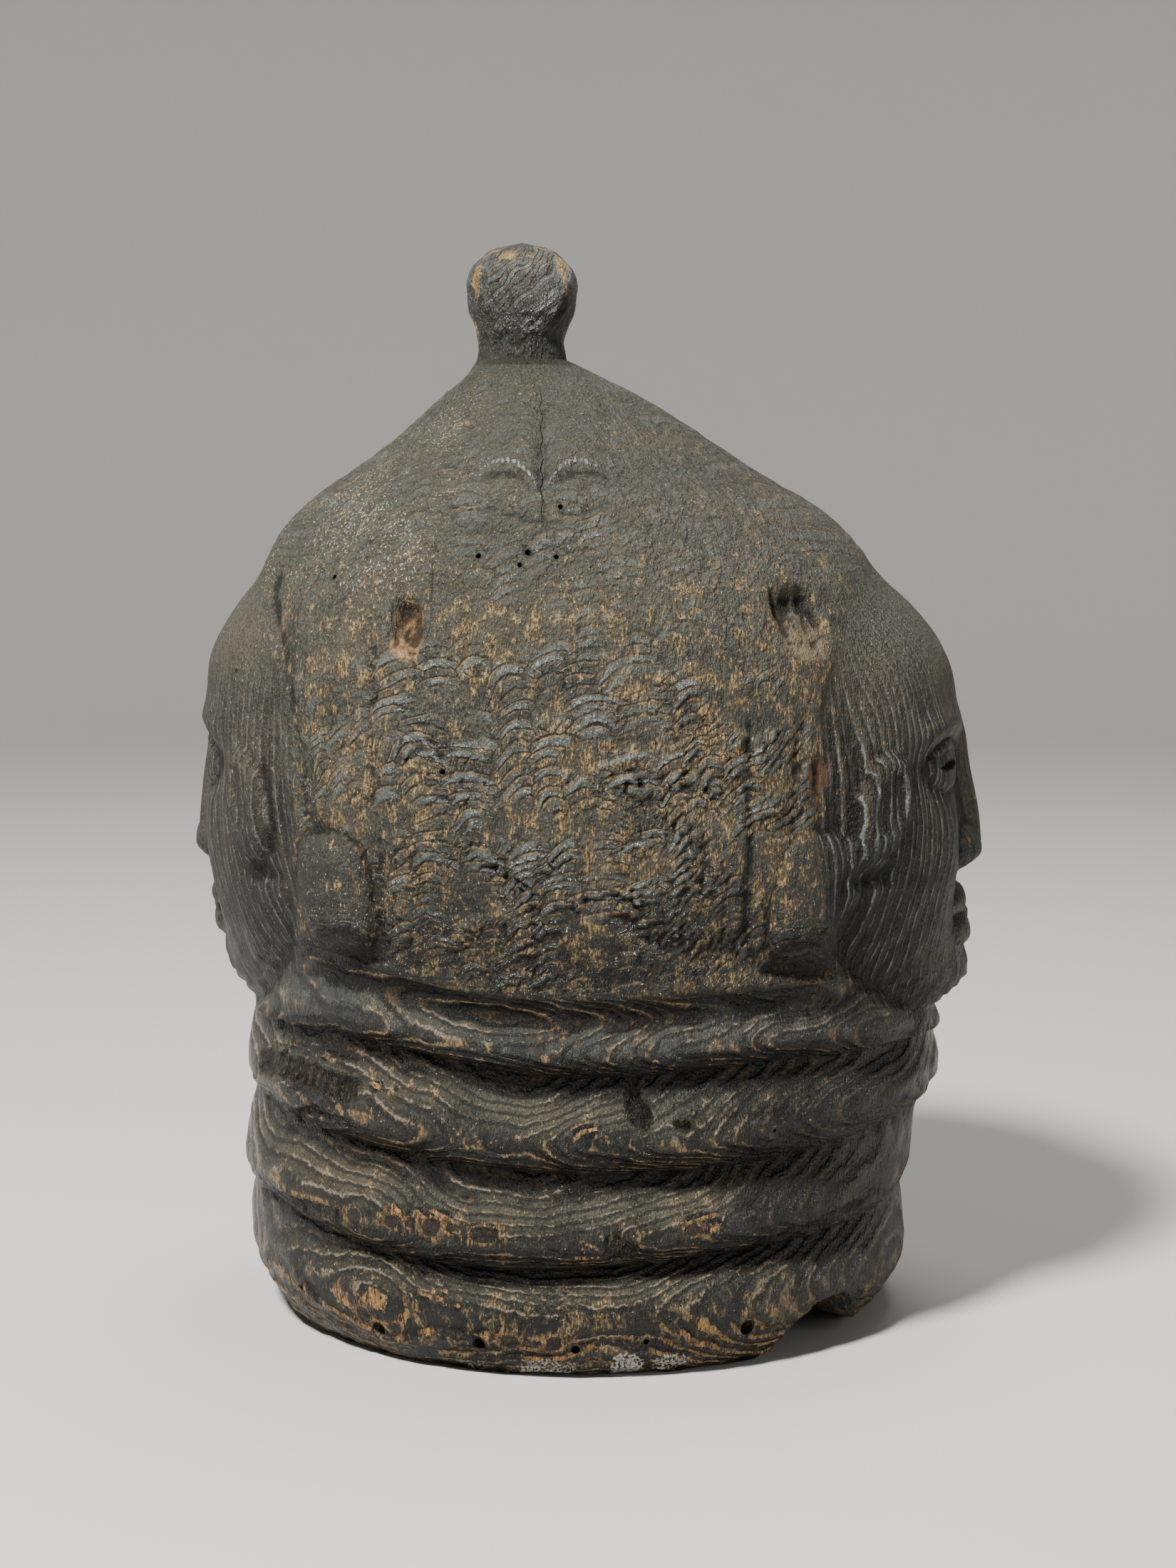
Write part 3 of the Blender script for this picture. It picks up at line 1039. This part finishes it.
def carvedWood(ringGroup, scaleGroup, dustGroup):
    material = bpy.data.materials.new("carvedWood")
    material.use_nodes = True
    tree = material.node_tree
    tree.nodes.clear()
    calc, ramp, times, plus = sumsOn(tree)
    place = addNode(tree, "ShaderNodeTexCoord").outputs["Object"]
    paint = {}
    for name in paintNames:
        layer = addNode(tree, "ShaderNodeAttribute", attribute_type="GEOMETRY", attribute_name=name)
        paint[name] = layer.outputs["Fac"]
    neck, hairy, calm, facing = (paint[name] for name in ("neck", "hairy", "calm", "facing"))

    def useGroup(shared, **inputs):
        made = addNode(tree, "ShaderNodeGroup", node_tree=shared)
        for name, value in inputs.items():
            feed(tree, made.inputs[name], value)
        return made.outputs

    def less(value, strength=1.0):
        # one less a share of the value
        return calc("MULTIPLY_ADD", value, -strength, 1.0)

    def mix(share, *tints):
        # two colours, each by its name in the finish or as the outcome of another mix
        return mixColour(tree, share, *(finish[tint] if isinstance(tint, str) else tint for tint in tints))

    def lay(share, tint, strength=1.0):
        # one more coat over the colour so far
        nonlocal colour
        colour = mix(times(share, strength) if strength != 1.0 else share, colour, tint)

    ring = useGroup(ringGroup, Place=place, Distance=paint["ringDistance"], Width=rings["width"])
    scale = useGroup(scaleGroup, Place=place, Across=paint["scaleAcross"], Count=paint["scaleCount"],
                     Arch=paint["scaleArch"])
    upright = useGroup(ringGroup, Place=place, Distance=paint["faceDistance"], Width=rings["faceWidth"])
    powder = useGroup(dustGroup, Place=place, Facing=facing)
    parts = addNode(tree, "ShaderNodeSeparateXYZ")
    feed(tree, parts.inputs[0], place)
    across, tall = parts.outputs[0], parts.outputs[2]

    bristle, fibre, grit, lump, mottle, patch, cluster, speck = (
        grainNoise(tree, place, *grain) for grain in grains.values())
    cut = ramp(paint["cutDepth"], 0.05, 0.7)
    lip = times(scale["Lip"], cut)
    ringShare = times(neck, plus(0.7, times(powder["Under"], 0.3)), less(paint["broken"]))
    belly = times(neck, less(powder["Top"]), less(powder["Under"]))
    crown, knob = ramp(tall, *zones["crown"]), ramp(tall, *zones["knob"])
    coil = times(calm, hairy, ramp(tall, *zones["coil"]))
    lowHair = times(hairy, ramp(plus(tall, times(patch, 0.012)), *zones["lowHair"]))

    # stained wood, lighter where the grain stands up
    colour = mix(plus(times(fibre, 0.5), times(grit, 0.5)), "black", "charcoal")
    lay(times(mottle, bristle), "slate", 0.8)
    lay(times(patch, less(bristle)), "brown", 0.75)

    # dust: thick on what looks up, and over the crown and the upper hair
    upper = times(ramp(tall, *zones["upper"]), plus(hairy, times(less(neck), less(knob), 0.8)))
    upper = calc("MINIMUM", upper, 1.0)
    lying = times(powder["Dust"], plus(0.65, times(neck, 0.3)))
    lying = plus(lying, times(upper, plus(0.32, times(mottle, 0.4))))
    even = plus(0.18, times(powder["Top"], neck, 0.3))
    lying = times(calc("MINIMUM", lying, 1.0), plus(even, times(plus(grit, bristle), 0.4)))
    lay(lying, "dust")
    lay(times(crown, plus(times(mottle, 0.7), 0.3)), "charcoal", 0.4)
    lay(times(coil, plus(0.4, times(lump, 0.6))), "charcoal", 0.7)
    lay(times(knob, lump), "sheen", 0.45)
    # the tops of the rolls are browner towards the left
    leftNeck = times(neck, powder["Top"], ramp(across, *zones["leftNeck"]))
    lay(times(leftNeck, plus(0.3, times(lump, 0.7))), "brown", 0.5)

    # the foot is black between the streaks of bare wood, and the lowest hair is black too
    foot = times(neck, ramp(tall, *zones["foot"]))
    lay(times(foot, less(fibre, 0.5)), "black", 0.9)
    lay(times(lowHair, less(bristle, 0.5)), "black", 0.7)

    # golden wood in clusters of short upright fibres, where the stain has rubbed off
    where = plus(cluster, times(lowHair, -0.015), times(hairy, 0.04), times(neck, -0.05), times(patch, 0.09),
                 times(plus(crown, calm), -0.09), times(foot, 0.08),
                 times(ramp(tall, *zones["highHair"]), -0.03), times(ramp(across, *zones["leftEdge"]), -0.05),
                 times(ramp(across, *zones["rightHair"]), hairy, 0.04))
    golden = times(ramp(where, 0.57, 0.65), less(lip, 0.9))
    weave = ramp(plus(bristle, grit, times(lump, 0.5)), 0.9, 1.9)
    lay(golden, mix(weave, "brown", "gold"), 0.8)

    # scales: slate lips, thin light edges and black lines
    lens = mix(times(bristle, lump, less(lowHair, 0.7)), "slate", "sheen")
    lens = mix(times(lowHair, 0.7), lens, "charcoal")
    lay(lip, lens, 0.85)
    lay(times(scale["Edge"], cut, plus(0.1, times(lump, 0.9))), "tan", 0.4)
    lay(times(scale["Line"], cut, plus(0.7, times(lump, 0.3))), "black")

    # the bellies and undersides of the rolls are blackest, and the top roll's belly is slate
    below = times(powder["Under"], ramp(tall, *zones["aboveFoot"]), less(hairy, 0.5))
    lay(below, "black", 0.8)
    topRing = ramp(plus(tall, times(across, 0.08)), *zones["topRing"])
    lay(times(belly, less(bristle, 0.5), less(topRing)), "black", 0.6)
    lay(times(belly, topRing, plus(0.15, times(bristle, 0.35), times(mottle, 0.5))), "slate", 0.8)

    # growth rings: black lines, with crumbling tan edges here and there
    lay(times(ring["Line"], ringShare), "black")
    crumble = times(ring["Edge"], ringShare, ramp(plus(patch, lump), 0.6, 1.3), plus(0.3, grit), less(lying))
    lay(crumble, "tan", 0.75)
    # the front of each roll's top is rubbed to thin bluish streaks
    rubbed = times(ramp(facing, 0.02, 0.15), ramp(facing, 0.5, 0.3), neck)
    lay(times(rubbed, ring["Edge"], ramp(plus(lump, patch), 0.8, 1.3)), "bead", 0.22)

    # the grain of the faces: black lines and light edges
    lay(times(upright["Line"], paint["faceGrain"]), "black", 0.9)
    lay(times(upright["Edge"], paint["faceGrain"], plus(0.1, lump)), "bead", 0.45)

    # broken layers show black and brown bristles
    broken = ramp(plus(paint["broken"], times(lump, 0.4)), 0.55, 0.75)
    lay(broken, mix(times(bristle, plus(0.2, fibre)), "black", "brown"))

    # pale grains, most of them on the left of the crown
    leftCrown = times(crown, ramp(across, *zones["leftCrown"]), patch)
    pale = plus(speck, times(upper, 0.02), times(leftCrown, 0.085), times(patch, 0.01), times(lowHair, 0.035))
    lay(ramp(pale, 0.71, 0.74), "pale", 0.65)

    # bare wood: the soft wood between the black hard rings is worn to orange and tan
    bare = plus(paint["bareWood"], calc("MULTIPLY_ADD", mottle, 0.6, -0.3))
    halo = ramp(plus(paint["ovals"], times(fibre, 0.3), times(lump, 0.15)), 0.55, 0.75)
    bare = calc("MAXIMUM", ramp(bare, 0.35, 0.6), halo)
    streak = mix(fibre, mix(knob, "orange", "gold"), "tan")
    streak = mix(times(lump, less(bristle, 0.4), 0.8), streak, "brown")
    streak = mix(times(ramp(ring["Ridge"], 0.0, 0.3), less(knob), less(halo)), streak, "black")
    streak = mix(times(halo, less(bristle), 0.75), streak, "black")
    lay(times(bare, ramp(plus(bristle, fibre), 0.2, 0.7)), streak)
    lay(ramp(paint["ovals"], 0.56, 0.64), "black", 0.92)

    # small shining beads along the crest's edges
    along = calc("SUBTRACT", calc("FRACT", calc("DIVIDE", paint["beadAlong"], crest["beadPitch"])), 0.5)
    rising = plus(paint["beadUp"], times(lump, 0.5), -1.2)
    off = calc("SQRT", plus(times(along, along, 2.9), times(rising, rising)))
    bead = times(paint["beads"], ramp(off, 0.85, 0.4), ramp(plus(lump, patch), 0.4, 0.9))
    lay(bead, "bead", 0.7)

    # rotted sockets: rusty on the left, with a grey-brown floor on the right
    rot = ramp(times(paint["rot"], plus(0.5, mottle)), 0.2, 0.6)
    rightFloor = times(ramp(across, *zones["rightHalf"]), ramp(tall, *zones["socket"]))
    rotten = mix(rightFloor, mix(lump, "rust", "brown"), "floor")
    torn = times(fibre, ramp(across, *reversed(zones["rightHalf"]), 0.25, 1.0))
    lay(rot, mix(torn, rotten, "tan"), 0.8)

    # shade in the hollows, the grey crust on the rim, and bare wood inside
    deep = mixColour(tree, 1.0, colour, finish["shade"], "MULTIPLY")
    lay(ramp(paint["hollows"], 0.2, 0.85), deep)
    lay(ramp(times(paint["crust"], grit), 0.15, 0.35), "crust")
    lay(paint["inner"], "inside")

    # fine relief, in millimetres
    relief = times(scale["Height"], cut, plus(1.5, times(knob, 1.2)))
    relief = plus(relief, times(ring["Ridge"], ringShare, 1.2), times(upright["Ridge"], paint["faceGrain"]))
    relief = plus(relief, times(bristle, less(lip, 0.8), plus(0.22, times(broken, 0.8))), times(bead, 0.6))
    relief = plus(relief, times(fibre, less(lip, 0.8), 0.25), times(grit, less(lip, 0.6), 0.36))
    relief = plus(relief, times(lump, plus(less(belly, 0.5), times(crown, 0.7)), 0.5))
    relief = times(relief, less(paint["inner"]))
    bump = addNode(tree, "ShaderNodeBump")
    bump.inputs["Strength"].default_value = 1.0
    bump.inputs["Distance"].default_value = millimetre
    feed(tree, bump.inputs["Height"], relief)

    shader = addNode(tree, "ShaderNodeBsdfPrincipled")
    feed(tree, shader.inputs["Base Color"], colour)
    dull = plus(times(lying, 0.45), times(golden, 0.35), times(mottle, 0.2))
    smooth = plus(lip, times(ring["Ridge"], neck, 0.5), times(belly, 0.5), bead, times(knob, 0.3))
    dull = times(plus(dull, 0.25), less(calc("MINIMUM", smooth, 1.0), 0.8))
    feed(tree, shader.inputs["Roughness"], ramp(dull, 0.0, 0.8, 0.18, 0.78))
    shader.inputs["Specular IOR Level"].default_value = 0.3
    feed(tree, shader.inputs["Normal"], bump.outputs["Normal"])
    out = addNode(tree, "ShaderNodeOutputMaterial")
    feed(tree, out.inputs["Surface"], shader.outputs[0])
    return material


# build

mask = bpy.data.objects.new("carvedMask", buildMask())
bpy.context.collection.objects.link(mask)
cutHoles(mask)
shadeSmooth(mask.data, 50)
mask.data.materials.clear()
mask.data.materials.append(carvedWood(woodRings(), carvedScales(), settledDust()))
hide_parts("helmet_mask")
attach(mask, "root")
print("mask finished")

# studio

studio = {
    "floorRings": (0, 0.8, 1.6), "floorRadius": 2.2, "coveRadius": 1.2, "wallTop": 3.4,
    "paper": (0.52, 0.51, 0.49, 1), "paperRoughness": 0.9,
    "lights": [  # name, place, size, watts, tint
        ("keyLight", (-0.64, -1.14, 1.85), 0.36, 128, (1, 0.99, 0.95)),
        ("fillLight", (1.6, -1.1, 0.9), 1.2, 4.5, (0.92, 0.96, 1)),
        ("topLight", (0.2, 0.5, 2.0), 1.0, 20, (1, 1, 1)),
    ],
    "aim": (0, 0, 0.19),
    "air": (0.8, 0.85, 0.9, 1), "airStrength": 0.12,
    "cameraPlace": (0.08549, -0.96594, 0.2997), "cameraTurn": (83.6, 0, 5),
    "lens": 60.95, "sensor": 36, "clip": (0.05, 20),
}


def buildStudio():
    bm = bmesh.new()
    floorRadius, cove = studio["floorRadius"], studio["coveRadius"]
    outline = [(x, 0) for x in studio["floorRings"]]
    for turn in np.linspace(0, math.pi / 2, 12):
        outline.append((floorRadius + cove * math.sin(turn), cove * (1 - math.cos(turn))))
    outline.append((floorRadius + cove, studio["wallTop"]))
    chain = [bm.verts.new((x, 0, z)) for x, z in outline]
    links = [bm.edges.new(pair) for pair in zip(chain, chain[1:])]
    bmesh.ops.spin(bm, geom=chain + links, cent=(0, 0, 0), axis=(0, 0, 1), angle=2 * math.pi,
                   steps=96, use_merge=True)
    bmesh.ops.remove_doubles(bm, verts=bm.verts, dist=1e-5)
    bmesh.ops.recalc_face_normals(bm, faces=bm.faces)
    bmesh.ops.reverse_faces(bm, faces=bm.faces)
    for one in bm.faces:
        one.smooth = True
    backdrop = bpy.data.objects.new("studioFloor", bpy.data.meshes.new("studioFloor"))
    bm.to_mesh(backdrop.data)
    bm.free()
    bpy.context.collection.objects.link(backdrop)
    paper = bpy.data.materials.new("studioPaper")
    paper.use_nodes = True
    shader = paper.node_tree.nodes["Principled BSDF"]
    shader.inputs["Base Color"].default_value = studio["paper"]
    shader.inputs["Roughness"].default_value = studio["paperRoughness"]
    backdrop.data.materials.append(paper)


def addLight(name, spot, size, watts, tint):
    light = bpy.data.lights.new(name, "AREA")
    light.shape, light.size = "DISK", size
    light.energy, light.color = watts, tint
    lamp = bpy.data.objects.new(name, light)
    lamp.location = spot
    lamp.rotation_euler = (Vector(studio["aim"]) - Vector(spot)).to_track_quat("-Z", "Y").to_euler()
    bpy.context.collection.objects.link(lamp)


buildStudio()
for light in studio["lights"]:
    addLight(*light)

world = bpy.data.worlds.new("studioAir")
bpy.context.scene.world = world
world.use_nodes = True
air = world.node_tree.nodes["Background"]
air.inputs["Color"].default_value = studio["air"]
air.inputs["Strength"].default_value = studio["airStrength"]

lens = bpy.data.cameras.new("camera")
lens.lens, lens.sensor_width = studio["lens"], studio["sensor"]
lens.clip_start, lens.clip_end = studio["clip"]
camera = bpy.data.objects.new("camera", lens)
camera.location = studio["cameraPlace"]
camera.rotation_euler = [math.radians(turn) for turn in studio["cameraTurn"]]
bpy.context.collection.objects.link(camera)
bpy.context.scene.camera = camera
print("studio ready")
